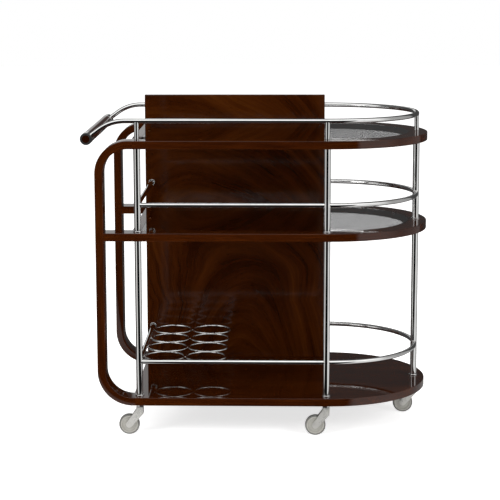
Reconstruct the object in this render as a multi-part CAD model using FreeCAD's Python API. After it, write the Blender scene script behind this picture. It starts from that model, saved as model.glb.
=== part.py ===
import FreeCAD, Part
import math
import os

from FreeCAD import Vector

# Bar cart on five casters: three D-shaped levels on chrome posts, two bentwood hoops at the
# push end, a tall veneered back panel, tube galleries, a wire bottle rack and a push handle.
# Frame: millimetres, +Z up, +X towards the round end, -Y is the front.
# Origin: on the floor, under the middle of the overall box.

# ---- driving dimensions -------------------------------------------------------------------
SHELF_DEPTH = 514.0
POST_SPACING = 470.0
ARC_SETOFF = 4.0
BOARD_THICKNESS = 20.0
BAND_WIDTH = 55.0
CASTER_HEIGHT = 80.0
MIDDLE_RISE = 418.0
TOP_RISE = 229.0

HOOP_REACH = 15.0
HOOP_TOP_RADIUS = 82.0
HOOP_BOTTOM_RADIUS = 88.0
HOOP_SPLICE_SETOFF = 1.0
CROSS_RAIL_WIDTH = 30.0
EDGE_EASING = 1.2

GLASS_THICKNESS = 5.0
GLASS_PAD_THICKNESS = 1.0
GLASS_PAD_RADIUS = 3.0
REBATE_WIDTH = 8.0
GLASS_GAP = 0.5
CLEAT_WIDTH = 10.0
CLEAT_HEIGHT = 8.0
CLEAT_END_GAP = 3.0

PANEL_SETBACK = 3.5
PANEL_THICKNESS = 20.0
PANEL_LEFT_OVERHANG = 16.5
PANEL_RIGHT_SETBACK = 0.25
PANEL_RISE = 75.5

POST_RADIUS = 8.5
POST_WALL = 1.5
COLLAR_RADIUS = 11.0
COLLAR_HEIGHT = 3.0
TIE_ROD_RADIUS = 3.0
TIE_ROD_TOP_REACH = 25.0

TUBE_RADIUS = 6.0
TUBE_WALL = 1.2
TOP_RAIL_HEIGHT = 47.0
MIDDLE_RAIL_HEIGHT = 67.0
BOTTOM_RAIL_HEIGHT = 87.0
RAIL_LAP = 60.0
FLANGE_RADIUS = 8.5
FLANGE_THICKNESS = 3.0
SADDLE_WIDTH = 16.0
SADDLE_MARGIN = 2.0
TOP_SADDLE_COUNT = 3
SADDLE_INSET = 30.0

RING_WIRE_RADIUS = 2.5
RING_ROWS = 4
RING_COLUMNS = 2

HANDLE_REACH = 122.5
HANDLE_SETBACK = 3.0
HANDLE_DROP = 42.6
HANDLE_RADIUS = 14.5
HANDLE_BEND_RADIUS = 105.0
HANDLE_BEND_ANGLE = 36.0
FERRULE_RADIUS = 15.0
FERRULE_LENGTH = 44.0
FERRULE_EASING = 0.6
SPIGOT_RADIUS = 9.0
SPIGOT_LENGTH = 10.0
END_CAP_THICKNESS = 4.0
INLAY_RADIUS = 9.5
INLAY_DEPTH = 2.0
INLAY_SINK = 0.5
TUBE_INSERTION = 8.0
SET_SCREW_RADIUS = 1.6
SET_SCREW_LENGTH = 4.0
SET_SCREW_SETOFF = 13.0

DOWEL_RADIUS = 4.0
DOWEL_HALF_LENGTH = 15.0
DOWEL_SETOFF = 12.5
DOWEL_PANEL_DEPTH = 12.0
DOWEL_HEIGHT = 8.0
SCREW_RADIUS = 2.4
SCREW_HEAD_RADIUS = 4.5
SCREW_HEAD_HEIGHT = 3.0
SCREW_SINK = 0.5
SCREW_LENGTH = 46.0
PANEL_SCREW_COUNT = 4
PANEL_SCREW_END = 75.0

WHEEL_RADIUS = 26.0
WHEEL_WIDTH = 14.0
TYRE_DEPTH = 4.0
TYRE_EDGE = 2.0
TYRE_BEVEL = 0.6
HUB_WEB_RECESS = 1.5
HUB_BOSS_RADIUS = 8.0
HUB_RIM_WIDTH = 3.0
AXLE_RADIUS = 3.0
AXLE_HEAD_RADIUS = 4.5
AXLE_HEAD_HEIGHT = 1.5
CASTER_TRAIL = 27.0
SOCKET_RADIUS = 8.75
SOCKET_HEIGHT = 8.0
SOCKET_SPIGOT_RADIUS = 6.5
SOCKET_SPIGOT_LENGTH = 12.0
STEM_RADIUS = 4.0
STEM_LENGTH = 13.0
FORK_HEAD_HEIGHT = 17.5
FORK_PLATE = 3.0
FORK_HUB_RADIUS = 8.0
FORK_SHOULDER = 6.0
WHEEL_SIDE_GAP = 1.0
SWIVEL_GAP = 0.5
BACK_CASTER_INSET = 30.0

# ---- named clearances -----------------------------------------------------------------------
JOINT_GAP = 0.05
HOLE_GAP = 0.1
SLOT_GAP = 0.2
RUNNING_GAP = 0.05
TYRE_FIT_GAP = 0.02

# ---- places worked out from the sizes -------------------------------------------------------
half_depth = SHELF_DEPTH / 2
half_handle = half_depth - HANDLE_SETBACK
rail_y = half_depth - BAND_WIDTH / 2
inner_y = half_depth - BAND_WIDTH
overall_length = FERRULE_RADIUS + HANDLE_REACH + POST_SPACING + ARC_SETOFF + half_depth
handle_x = FERRULE_RADIUS - overall_length / 2
left_post_x = handle_x + HANDLE_REACH
right_post_x = left_post_x + POST_SPACING
arc_x = right_post_x + ARC_SETOFF
end_post_x = arc_x + rail_y
hoop_x = left_post_x - HOOP_REACH - max(HOOP_TOP_RADIUS, HOOP_BOTTOM_RADIUS)
splice_x = left_post_x - POST_RADIUS - HOOP_SPLICE_SETOFF
cross_left_x = left_post_x - CROSS_RAIL_WIDTH / 2
cross_right_x = left_post_x + CROSS_RAIL_WIDTH / 2

board_under_z = CASTER_HEIGHT
bottom_z = board_under_z + BOARD_THICKNESS
middle_z = bottom_z + MIDDLE_RISE
top_z = middle_z + TOP_RISE
top_under_z = top_z - BOARD_THICKNESS
top_rail_z = top_z + TOP_RAIL_HEIGHT
middle_rail_z = middle_z + MIDDLE_RAIL_HEIGHT
bottom_rail_z = bottom_z + BOTTOM_RAIL_HEIGHT
handle_z = top_rail_z - HANDLE_DROP
rebate_depth = GLASS_THICKNESS + GLASS_PAD_THICKNESS

panel_back_y = rail_y - TUBE_RADIUS - PANEL_SETBACK
panel_front_y = panel_back_y - PANEL_THICKNESS
back_meeting_y = min(panel_front_y, inner_y)
panel_left_x = left_post_x - PANEL_LEFT_OVERHANG
panel_right_x = right_post_x - PANEL_RIGHT_SETBACK
panel_mid_y = (panel_front_y + panel_back_y) / 2
panel_top_z = top_z + PANEL_RISE

front_posts = [(left_post_x, -rail_y), (right_post_x, -rail_y)]
posts = front_posts + [(end_post_x, 0.0)]
back_stems = [(left_post_x + BACK_CASTER_INSET, panel_mid_y),
              (right_post_x - BACK_CASTER_INSET, panel_mid_y)]
caster_places = posts + back_stems

rack_front_y = -rail_y + TUBE_RADIUS + JOINT_GAP
rack_back_y = panel_front_y - JOINT_GAP
ring_diameter = (rack_back_y - rack_front_y - (RING_ROWS - 1) * JOINT_GAP) / RING_ROWS
ring_pitch = ring_diameter + JOINT_GAP
rack_left_x = left_post_x + TUBE_RADIUS + JOINT_GAP

AXIS_X = Vector(1, 0, 0)
AXIS_Y = Vector(0, 1, 0)
AXIS_Z = Vector(0, 0, 1)


# ---- helpers ----------------------------------------------------------------------------------
def block(x0, x1, y0, y1, z0, z1):
    """Box between two corners."""
    return Part.makeBox(x1 - x0, y1 - y0, z1 - z0, Vector(x0, y0, z0))


def rod_x(x0, x1, y, z, radius):
    """Round bar along X."""
    return Part.makeCylinder(radius, x1 - x0, Vector(x0, y, z), AXIS_X)


def rod_y(x, y0, y1, z, radius):
    """Round bar along Y."""
    return Part.makeCylinder(radius, y1 - y0, Vector(x, y0, z), AXIS_Y)


def rod_z(x, y, z0, z1, radius):
    """Round bar along Z."""
    return Part.makeCylinder(radius, z1 - z0, Vector(x, y, z0), AXIS_Z)


def tube_z(x, y, z0, z1, radius, wall):
    """Upright tube with the given wall."""
    return rod_z(x, y, z0, z1, radius).cut(rod_z(x, y, z0, z1, radius - wall))


def d_plate(left_x, half_width, z0, z1):
    """D-shaped plate: straight front, back and left edges, and a half circle at the right end."""
    front_left = Vector(left_x, -half_width, z0)
    front_right = Vector(arc_x, -half_width, z0)
    tip = Vector(arc_x + half_width, 0, z0)
    back_right = Vector(arc_x, half_width, z0)
    back_left = Vector(left_x, half_width, z0)
    edges = [Part.LineSegment(front_left, front_right).toShape(),
             Part.Arc(front_right, tip, back_right).toShape(),
             Part.LineSegment(back_right, back_left).toShape(),
             Part.LineSegment(back_left, front_left).toShape()]
    return Part.Face(Part.Wire(edges)).extrude(Vector(0, 0, z1 - z0))


def eased(shape, radius, chosen):
    """Round the edges that the test picks, by a point halfway along each."""
    edges = []
    for edge in shape.Edges:
        middle = edge.valueAt((edge.FirstParameter + edge.LastParameter) / 2)
        if chosen(edge, middle):
            edges.append(edge)
    return shape.makeFillet(radius, edges)


def cut_all(shape, tools):
    """Take every tool out of the shape."""
    for tool in tools:
        shape = shape.cut(tool)
    return shape


def swept(path_edges, start, direction, radius, wall):
    """Tube along a smooth path: an outer sweep less an inner one."""
    def bar(section_radius):
        section = Part.Wire([Part.Circle(start, direction, section_radius).toShape()])
        return Part.Wire(path_edges).makePipeShell([section], True, False)

    return bar(radius).cut(bar(radius - wall))


def save(node, solids):
    """Write one node, made of one solid or a group of separate solids."""
    shape = solids[0] if len(solids) == 1 else Part.makeCompound(solids)
    shape.exportStep("parts/" + node + ".step")
    print(node, len(shape.Solids), round(shape.Volume / 1000, 2), "cm3", shape.isValid())


# ---- joinery shared by several pieces --------------------------------------------------------
def post_bores(levels):
    """Holes that the posts pass through in a frame."""
    z0, z1 = levels
    return [rod_z(x, y, z0, z1, POST_RADIUS + JOINT_GAP) for x, y in posts]


def tie_rod_bores():
    """Holes for the tie rods, from the casters' spigots up through the top frame."""
    foot_z = board_under_z + SOCKET_SPIGOT_LENGTH
    return [rod_z(x, y, foot_z, top_z + SLOT_GAP, TIE_ROD_RADIUS + HOLE_GAP) for x, y in posts]


def panel_slot():
    """Room for the back panel in the frames' back bands."""
    return block(panel_left_x - SLOT_GAP, panel_right_x + SLOT_GAP,
                 panel_front_y - SLOT_GAP, panel_back_y + SLOT_GAP,
                 bottom_z, panel_top_z)


def splice_dowels(gap):
    """Dowels where the hoops meet the three levels."""
    dowels = []
    inner_hoop_x = hoop_x + BOARD_THICKNESS
    joints = [(splice_x - DOWEL_HALF_LENGTH, splice_x + DOWEL_HALF_LENGTH, top_z),
              (inner_hoop_x - DOWEL_PANEL_DEPTH, inner_hoop_x + DOWEL_HALF_LENGTH, middle_z),
              (splice_x - DOWEL_HALF_LENGTH, splice_x + DOWEL_HALF_LENGTH, bottom_z)]
    for x0, x1, level_z in joints:
        for side in (-1, 1):
            z = level_z - BOARD_THICKNESS + DOWEL_HEIGHT
            y = side * (half_depth - DOWEL_SETOFF)
            dowels.append(rod_x(x0 - gap, x1 + gap, y, z, DOWEL_RADIUS + gap))
    return dowels


def cross_rail_dowels(gap):
    """Dowels at both ends of each cross rail: into the front band and into the panel."""
    dowels = []
    spans = [(-inner_y - DOWEL_HALF_LENGTH, -inner_y + DOWEL_HALF_LENGTH),
             (back_meeting_y - DOWEL_HALF_LENGTH, panel_front_y + DOWEL_PANEL_DEPTH)]
    for level_z in (middle_z, top_z):
        z = level_z - BOARD_THICKNESS + DOWEL_HEIGHT
        for y0, y1 in spans:
            dowels.append(rod_y(left_post_x, y0 - gap, y1 + gap, z, DOWEL_RADIUS + gap))
    return dowels


def panel_screws(gap):
    """Screws up through the bottom board into the panel's foot."""
    screws = []
    first_x = panel_left_x + PANEL_SCREW_END
    step = (panel_right_x - PANEL_SCREW_END - first_x) / (PANEL_SCREW_COUNT - 1)
    head_z = board_under_z + SCREW_SINK - gap * SCREW_SINK / HOLE_GAP
    for index in range(PANEL_SCREW_COUNT):
        x = first_x + index * step
        head_top_z = board_under_z + SCREW_SINK + SCREW_HEAD_HEIGHT + gap
        head = rod_z(x, panel_mid_y, head_z, head_top_z, SCREW_HEAD_RADIUS + gap)
        tip_z = board_under_z + SCREW_SINK + SCREW_LENGTH + gap
        shank = rod_z(x, panel_mid_y, head_z, tip_z, SCREW_RADIUS + gap)
        screws.append(head.fuse(shank))
    return screws


# ---- wooden pieces ---------------------------------------------------------------------------
def hoop(side):
    """Bentwood hoop: a C that joins the top and bottom bands at one side of the push end."""
    def outline(inset, left, right, low, high):
        top_radius = HOOP_TOP_RADIUS - inset
        bottom_radius = HOOP_BOTTOM_RADIUS - inset
        lean = math.sqrt(0.5)
        top_centre = Vector(left + top_radius, 0, high - top_radius)
        bottom_centre = Vector(left + bottom_radius, 0, low + bottom_radius)
        return [Vector(right, 0, high),
                Vector(top_centre.x, 0, high),
                top_centre + Vector(-lean, 0, lean) * top_radius,
                Vector(left, 0, top_centre.z),
                Vector(left, 0, bottom_centre.z),
                bottom_centre + Vector(-lean, 0, -lean) * bottom_radius,
                Vector(bottom_centre.x, 0, low),
                Vector(right, 0, low)]

    outer = outline(0, hoop_x, splice_x, board_under_z, top_z)
    inner = outline(BOARD_THICKNESS, hoop_x + BOARD_THICKNESS, splice_x, bottom_z, top_under_z)
    edges = []
    for points in (outer, inner):
        edges.append(Part.LineSegment(points[0], points[1]).toShape())
        edges.append(Part.Arc(points[1], points[2], points[3]).toShape())
        edges.append(Part.LineSegment(points[3], points[4]).toShape())
        edges.append(Part.Arc(points[4], points[5], points[6]).toShape())
        edges.append(Part.LineSegment(points[6], points[7]).toShape())
    edges.append(Part.LineSegment(outer[0], inner[0]).toShape())
    edges.append(Part.LineSegment(outer[7], inner[7]).toShape())
    face = Part.Face(Part.Wire(Part.__sortEdges__(edges)))
    start_y = -half_depth if side < 0 else inner_y
    face.translate(Vector(0, start_y, 0))
    band = face.extrude(Vector(0, BAND_WIDTH, 0))
    flat_y = (start_y, start_y + BAND_WIDTH)

    def long_edge(edge, middle):
        on_face = min(abs(middle.y - flat_y[0]), abs(middle.y - flat_y[1])) < JOINT_GAP
        return on_face and middle.x < splice_x - JOINT_GAP

    band = eased(band, EDGE_EASING, long_edge)
    return cut_all(band, [panel_slot()] + splice_dowels(HOLE_GAP))


def rim_edge(edge, middle):
    """Outer edges of a D plate, apart from its left end."""
    along_side = abs(abs(middle.y) - half_depth) < JOINT_GAP
    around_end = math.hypot(middle.x - arc_x, middle.y) > half_depth - JOINT_GAP
    return (along_side or (around_end and middle.x > arc_x)) and edge.Length > BAND_WIDTH


def shelf_frame(level_z, left_x):
    """U-shaped band of a glazed level, with a rebate for its glass."""
    under_z = level_z - BOARD_THICKNESS
    frame = eased(d_plate(left_x, half_depth, under_z, level_z), EDGE_EASING, rim_edge)
    frame = frame.cut(d_plate(left_x, inner_y, under_z, level_z))
    rebate = d_plate(cross_right_x - REBATE_WIDTH, inner_y + REBATE_WIDTH,
                     level_z - rebate_depth, level_z)
    return cut_all(frame, [rebate, panel_slot()] + splice_dowels(HOLE_GAP)
                   + cross_rail_dowels(HOLE_GAP))


def top_frame():
    """Band of the top level, which the tie rods pass through."""
    return cut_all(shelf_frame(top_z, splice_x), tie_rod_bores())


def middle_frame():
    """Band of the middle level, which the posts pass through and which runs on to the hoops."""
    levels = (middle_z - BOARD_THICKNESS, middle_z)
    return cut_all(shelf_frame(middle_z, hoop_x + BOARD_THICKNESS), post_bores(levels))


def cross_rail(level_z):
    """Rail across the push end of a glazed level, rebated for the glass."""
    under_z = level_z - BOARD_THICKNESS
    rail = block(cross_left_x, cross_right_x, -inner_y, back_meeting_y, under_z, level_z)
    rebate = block(cross_right_x - REBATE_WIDTH, cross_right_x, -inner_y, back_meeting_y,
                   level_z - rebate_depth, level_z)
    return cut_all(rail, [rebate] + cross_rail_dowels(HOLE_GAP))


def bottom_board():
    """Solid lowest level, with a tongue that fills the gap between the hoops' ends."""
    board = eased(d_plate(splice_x, half_depth, board_under_z, bottom_z), EDGE_EASING, rim_edge)
    tongue = block(cross_left_x, splice_x, -inner_y + SLOT_GAP, inner_y - SLOT_GAP,
                   board_under_z, bottom_z)
    board = board.fuse(tongue).removeSplitter()
    sockets = [rod_z(x, y, board_under_z, board_under_z + SOCKET_SPIGOT_LENGTH + HOLE_GAP,
                     SOCKET_SPIGOT_RADIUS + HOLE_GAP) for x, y in caster_places]
    return cut_all(board, sockets + tie_rod_bores() + panel_screws(HOLE_GAP)
                   + splice_dowels(HOLE_GAP))


def back_panel():
    """Tall veneered panel that stands on the bottom board and carries both frames."""
    panel = block(panel_left_x, panel_right_x, panel_front_y, panel_back_y, bottom_z, panel_top_z)

    def outer_edge(edge, middle):
        top = middle.z > panel_top_z - JOINT_GAP
        side = abs(middle.z - (bottom_z + panel_top_z) / 2) < JOINT_GAP
        return top or side

    panel = eased(panel, EDGE_EASING, outer_edge)
    return cut_all(panel, panel_screws(HOLE_GAP) + cross_rail_dowels(HOLE_GAP))


def glass_cleat(level_z):
    """Strip on the panel's face, or on a wide band's edge, that carries the back of a glass."""
    top = level_z - rebate_depth
    return block(cross_right_x, panel_right_x - CLEAT_END_GAP, back_meeting_y - CLEAT_WIDTH,
                 back_meeting_y, top - CLEAT_HEIGHT, top)


# ---- glass -------------------------------------------------------------------------------------
def shelf_glass(level_z):
    """D-shaped glass, cut back along the panel's face."""
    glass = d_plate(cross_right_x - REBATE_WIDTH + GLASS_GAP, inner_y + REBATE_WIDTH - GLASS_GAP,
                    level_z - GLASS_THICKNESS, level_z)
    behind = block(panel_left_x, panel_right_x + 2 * GLASS_GAP, panel_front_y - 2 * GLASS_GAP,
                   half_depth, level_z - GLASS_THICKNESS, level_z)
    return glass.cut(behind)


def glass_pads(level_z):
    """Clear pads under one glass: on the rebate, the cross rail and the cleat."""
    lift = level_z - rebate_depth
    seat_y = inner_y + REBATE_WIDTH / 2
    seat_x = cross_right_x - REBATE_WIDTH / 2
    cleat_y = back_meeting_y - CLEAT_WIDTH / 2
    places = [(seat_x, 0.0), (left_post_x + POST_SPACING / 3, -seat_y), (arc_x, -seat_y),
              (left_post_x + POST_SPACING / 3, cleat_y),
              (left_post_x + 2 * POST_SPACING / 3, cleat_y)]
    for angle in (-30, 30, 60):
        places.append((arc_x + seat_y * math.cos(math.radians(angle)),
                       seat_y * math.sin(math.radians(angle))))
    return [rod_z(x, y, lift, lift + GLASS_PAD_THICKNESS, GLASS_PAD_RADIUS) for x, y in places]


# ---- chrome posts ------------------------------------------------------------------------------
def post(place):
    """Tube from the bottom board up to the underside of the top frame."""
    x, y = place
    return tube_z(x, y, bottom_z, top_under_z, POST_RADIUS, POST_WALL)


def gallery_post(place):
    """Short tube from the top frame up to the top gallery rail."""
    x, y = place
    upright = tube_z(x, y, top_z, top_rail_z, TUBE_RADIUS, TUBE_WALL)
    return upright.cut(top_rail_bar(TUBE_RADIUS + JOINT_GAP))


def collar(place, level_z):
    """Foot ring around a post where it meets a level."""
    x, y = place
    ring = rod_z(x, y, level_z, level_z + COLLAR_HEIGHT, COLLAR_RADIUS)
    ring = eased(ring, EDGE_EASING, lambda edge, middle: middle.z > level_z + JOINT_GAP
                 and edge.Length > COLLAR_RADIUS)
    return ring.cut(rod_z(x, y, level_z, level_z + COLLAR_HEIGHT, POST_RADIUS + JOINT_GAP))


def tie_rod(place):
    """Rod inside a post that clamps the levels together."""
    x, y = place
    foot_z = board_under_z + SOCKET_SPIGOT_LENGTH + HOLE_GAP
    return rod_z(x, y, foot_z + HOLE_GAP, top_z + TIE_ROD_TOP_REACH, TIE_ROD_RADIUS)


# ---- galleries -----------------------------------------------------------------------------------
def handle_leg():
    """Points of the rail's bend down to the handle: handle end, end of bend, start of bend."""
    turn = math.radians(HANDLE_BEND_ANGLE)
    bend_drop = HANDLE_BEND_RADIUS * (1 - math.cos(turn))
    run = (HANDLE_DROP - bend_drop) / math.sin(turn)
    bend_end_x = handle_x + run * math.cos(turn)
    bend_end_z = top_rail_z - bend_drop
    bend_start_x = bend_end_x + HANDLE_BEND_RADIUS * math.sin(turn)
    half = turn / 2
    mid_x = bend_start_x - HANDLE_BEND_RADIUS * math.sin(half)
    mid_z = top_rail_z - HANDLE_BEND_RADIUS * (1 - math.cos(half))
    tip_x = handle_x + TUBE_INSERTION * math.cos(turn)
    tip_z = handle_z + TUBE_INSERTION * math.sin(turn)
    return [(tip_x, tip_z), (bend_end_x, bend_end_z), (mid_x, mid_z), (bend_start_x, top_rail_z)]


def top_rail_path():
    """U path of the top gallery: handle, front, round end, back, handle."""
    tip, bend_end, bend_mid, bend_start = handle_leg()

    def at(point, y):
        return Vector(point[0], y, point[1])

    front, back = -rail_y, rail_y
    return [Part.LineSegment(at(tip, front), at(bend_end, front)).toShape(),
            Part.Arc(at(bend_end, front), at(bend_mid, front), at(bend_start, front)).toShape(),
            Part.LineSegment(at(bend_start, front), Vector(arc_x, front, top_rail_z)).toShape(),
            Part.Arc(Vector(arc_x, front, top_rail_z), Vector(end_post_x, 0, top_rail_z),
                     Vector(arc_x, back, top_rail_z)).toShape(),
            Part.LineSegment(Vector(arc_x, back, top_rail_z), at(bend_start, back)).toShape(),
            Part.Arc(at(bend_start, back), at(bend_mid, back), at(bend_end, back)).toShape(),
            Part.LineSegment(at(bend_end, back), at(tip, back)).toShape()]


def top_rail_bar(radius):
    """Solid bar along the top gallery's path."""
    edges = top_rail_path()
    tip, bend_end = handle_leg()[:2]
    start = Vector(tip[0], -rail_y, tip[1])
    direction = Vector(bend_end[0] - tip[0], 0, bend_end[1] - tip[1])
    section = Part.Wire([Part.Circle(start, direction, radius).toShape()])
    return Part.Wire(edges).makePipeShell([section], True, False)


def top_gallery_rail():
    """Bent tube of the top gallery, which also carries the handle."""
    return top_rail_bar(TUBE_RADIUS).cut(top_rail_bar(TUBE_RADIUS - TUBE_WALL))


def coped(rail, level_z):
    """Hollow the rail's ends to fit the posts."""
    tools = [rod_z(x, y, level_z - COLLAR_RADIUS, level_z + COLLAR_RADIUS, POST_RADIUS + JOINT_GAP)
             for x, y in posts]
    return cut_all(rail, tools)


def tube_x(x0, x1, y, z):
    """Straight gallery tube along X."""
    return rod_x(x0, x1, y, z, TUBE_RADIUS).cut(rod_x(x0, x1, y, z, TUBE_RADIUS - TUBE_WALL))


def front_rail(level_z):
    """Straight gallery rail between the two front posts."""
    return coped(tube_x(left_post_x, right_post_x, -rail_y, level_z), level_z)


def end_rail_near(level_z):
    """Gallery rail from the front right post round to the end post."""
    start = Vector(right_post_x, -rail_y, level_z)
    turn = Vector(arc_x, -rail_y, level_z)
    lean = math.sqrt(0.5) * rail_y
    path = [Part.LineSegment(start, turn).toShape(),
            Part.Arc(turn, Vector(arc_x + lean, -lean, level_z),
                     Vector(end_post_x, 0, level_z)).toShape()]
    return coped(swept(path, start, AXIS_X, TUBE_RADIUS, TUBE_WALL), level_z)


def end_rail_far(level_z):
    """Gallery rail from the end post round to its lap behind the panel."""
    start = Vector(end_post_x, 0, level_z)
    turn = Vector(arc_x, rail_y, level_z)
    lean = math.sqrt(0.5) * rail_y
    path = [Part.Arc(start, Vector(arc_x + lean, lean, level_z), turn).toShape(),
            Part.LineSegment(turn, Vector(panel_right_x - RAIL_LAP, rail_y, level_z)).toShape()]
    return coped(swept(path, start, AXIS_Y, TUBE_RADIUS, TUBE_WALL), level_z)


def side_rail(level_z):
    """Gallery rail across the push end, from the front left post back to the panel."""
    outer = rod_y(left_post_x, -rail_y, panel_front_y, level_z, TUBE_RADIUS)
    inner = rod_y(left_post_x, -rail_y, panel_front_y, level_z, TUBE_RADIUS - TUBE_WALL)
    corner = rod_x(left_post_x, right_post_x, -rail_y, level_z, TUBE_RADIUS + JOINT_GAP)
    return coped(outer.cut(inner), level_z).cut(corner)


def rail_flange(level_z):
    """Rosette where a side rail meets the panel."""
    front_y = panel_front_y - FLANGE_THICKNESS
    disc = rod_y(left_post_x, front_y, panel_front_y, level_z, FLANGE_RADIUS)
    disc = eased(disc, EDGE_EASING, lambda edge, middle: middle.y < front_y + JOINT_GAP
                 and edge.Length > FLANGE_RADIUS)
    return disc.cut(rod_y(left_post_x, front_y, panel_front_y, level_z, TUBE_RADIUS + JOINT_GAP))


def saddle(x, level_z):
    """Block on the panel's back that holds a gallery rail."""
    reach_y = rail_y + TUBE_RADIUS + SADDLE_MARGIN
    half = TUBE_RADIUS + SADDLE_MARGIN
    body = block(x - SADDLE_WIDTH / 2, x + SADDLE_WIDTH / 2, panel_back_y, reach_y,
                 level_z - half, level_z + half)
    return body.cut(rod_x(x - SADDLE_WIDTH, x + SADDLE_WIDTH, rail_y, level_z,
                          TUBE_RADIUS + JOINT_GAP))


def rail_saddles():
    """Saddles for the top rail along the panel and for the two shorter rails at its right end."""
    first_x = panel_left_x + SADDLE_INSET
    last_x = panel_right_x - SADDLE_INSET
    step = (last_x - first_x) / (TOP_SADDLE_COUNT - 1)
    saddles = [saddle(first_x + index * step, top_rail_z) for index in range(TOP_SADDLE_COUNT)]
    return saddles + [saddle(last_x, middle_rail_z), saddle(last_x, bottom_rail_z)]


def bottle_rings():
    """Wire rings of the bottle rack, soldered to each other and to the rails around them."""
    rings = []
    middle_radius = ring_diameter / 2 - RING_WIRE_RADIUS
    for row in range(RING_ROWS):
        for column in range(RING_COLUMNS):
            x = rack_left_x + ring_diameter / 2 + column * ring_pitch
            y = rack_front_y + ring_diameter / 2 + row * ring_pitch
            rings.append(Part.makeTorus(middle_radius, RING_WIRE_RADIUS,
                                        Vector(x, y, bottom_rail_z)))
    return rings


# ---- handle --------------------------------------------------------------------------------------
def handle_grip():
    """Wooden grip with a spigot at each end."""
    half = half_handle - END_CAP_THICKNESS - FERRULE_LENGTH
    grip = rod_y(handle_x, -half, half, handle_z, HANDLE_RADIUS)
    reach = half + SPIGOT_LENGTH
    return grip.fuse(rod_y(handle_x, -reach, reach, handle_z, SPIGOT_RADIUS))


def set_screw(side, gap):
    """Grub screw that holds the rail in its ferrule, lying along a radius."""
    turn = math.radians(HANDLE_BEND_ANGLE)
    radial = Vector(math.cos(turn), 0, math.sin(turn))
    y = side * (rail_y + SET_SCREW_SETOFF)
    start = Vector(handle_x, y, handle_z) + radial * (FERRULE_RADIUS - SET_SCREW_LENGTH - gap)
    return Part.makeCylinder(SET_SCREW_RADIUS + gap, SET_SCREW_LENGTH + 2 * gap, start, radial)


def handle_ferrule(side):
    """Chrome end of the handle: takes the grip's spigot, the rail and the end cap."""
    outer = side * (half_handle - END_CAP_THICKNESS)
    inner = side * (half_handle - END_CAP_THICKNESS - FERRULE_LENGTH)
    low, high = min(outer, inner), max(outer, inner)
    body = rod_y(handle_x, low, high, handle_z, FERRULE_RADIUS)
    body = eased(body, FERRULE_EASING, lambda edge, middle: edge.Length > FERRULE_RADIUS
                 and abs(middle.y - inner) < JOINT_GAP)
    reach = inner + side * (SPIGOT_LENGTH + HOLE_GAP)
    spigot = rod_y(handle_x, min(inner, reach), max(inner, reach), handle_z,
                   SPIGOT_RADIUS + HOLE_GAP)
    return cut_all(body, [spigot, top_rail_bar(TUBE_RADIUS + JOINT_GAP), set_screw(side, HOLE_GAP)])


def handle_end_cap(side):
    """Dark ring that closes the handle's end."""
    inner = side * (half_handle - END_CAP_THICKNESS)
    outer = side * half_handle
    cap = rod_y(handle_x, min(inner, outer), max(inner, outer), handle_z, HANDLE_RADIUS)
    cap = eased(cap, EDGE_EASING, lambda edge, middle: edge.Length > HANDLE_RADIUS
                and abs(middle.y - outer) < JOINT_GAP)
    recess = side * (half_handle - INLAY_DEPTH)
    return cap.cut(rod_y(handle_x, min(recess, outer), max(recess, outer), handle_z,
                         INLAY_RADIUS + JOINT_GAP))


def handle_inlay(side):
    """Wooden disc let into an end cap."""
    inner = side * (half_handle - INLAY_DEPTH)
    outer = side * (half_handle - INLAY_SINK)
    return rod_y(handle_x, min(inner, outer), max(inner, outer), handle_z, INLAY_RADIUS)


# ---- casters ---------------------------------------------------------------------------------------
def caster_socket(place):
    """Cup under the board with a spigot into it and a bore for the fork's stem."""
    x, y = place
    cup_z = board_under_z - SOCKET_HEIGHT
    cup = rod_z(x, y, cup_z, board_under_z, SOCKET_RADIUS)
    spigot = rod_z(x, y, board_under_z, board_under_z + SOCKET_SPIGOT_LENGTH, SOCKET_SPIGOT_RADIUS)
    bore_top = cup_z + STEM_LENGTH + SWIVEL_GAP
    return cup.fuse(spigot).cut(rod_z(x, y, cup_z, bore_top, STEM_RADIUS + RUNNING_GAP))


def fork_cheek(x, y, sign):
    """One side plate of a fork: from the head down to the axle."""
    head_top = board_under_z - SOCKET_HEIGHT - SWIVEL_GAP
    head_low = head_top - FORK_HEAD_HEIGHT
    hub = Vector(x - CASTER_TRAIL, 0, WHEEL_RADIUS)
    aim = Vector(x, 0, head_low) - hub
    aim.normalize()
    across = Vector(-aim.z, 0, aim.x) * FORK_HUB_RADIUS
    low_y = y + (WHEEL_WIDTH / 2 + WHEEL_SIDE_GAP if sign > 0
                 else -WHEEL_WIDTH / 2 - WHEEL_SIDE_GAP - FORK_PLATE)
    corners = [hub + across, Vector(x - SOCKET_RADIUS, 0, head_top - FORK_SHOULDER),
               Vector(x - SOCKET_RADIUS, 0, head_top), Vector(x + SOCKET_RADIUS, 0, head_top),
               Vector(x + SOCKET_RADIUS, 0, head_low), hub - across]
    lift = Vector(0, low_y, 0)
    outline = Part.makePolygon([corner + lift for corner in corners + corners[:1]])
    plate = Part.Face(outline).extrude(Vector(0, FORK_PLATE, 0))
    boss = rod_y(hub.x, low_y, low_y + FORK_PLATE, hub.z, FORK_HUB_RADIUS)
    return plate.fuse(boss)


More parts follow.
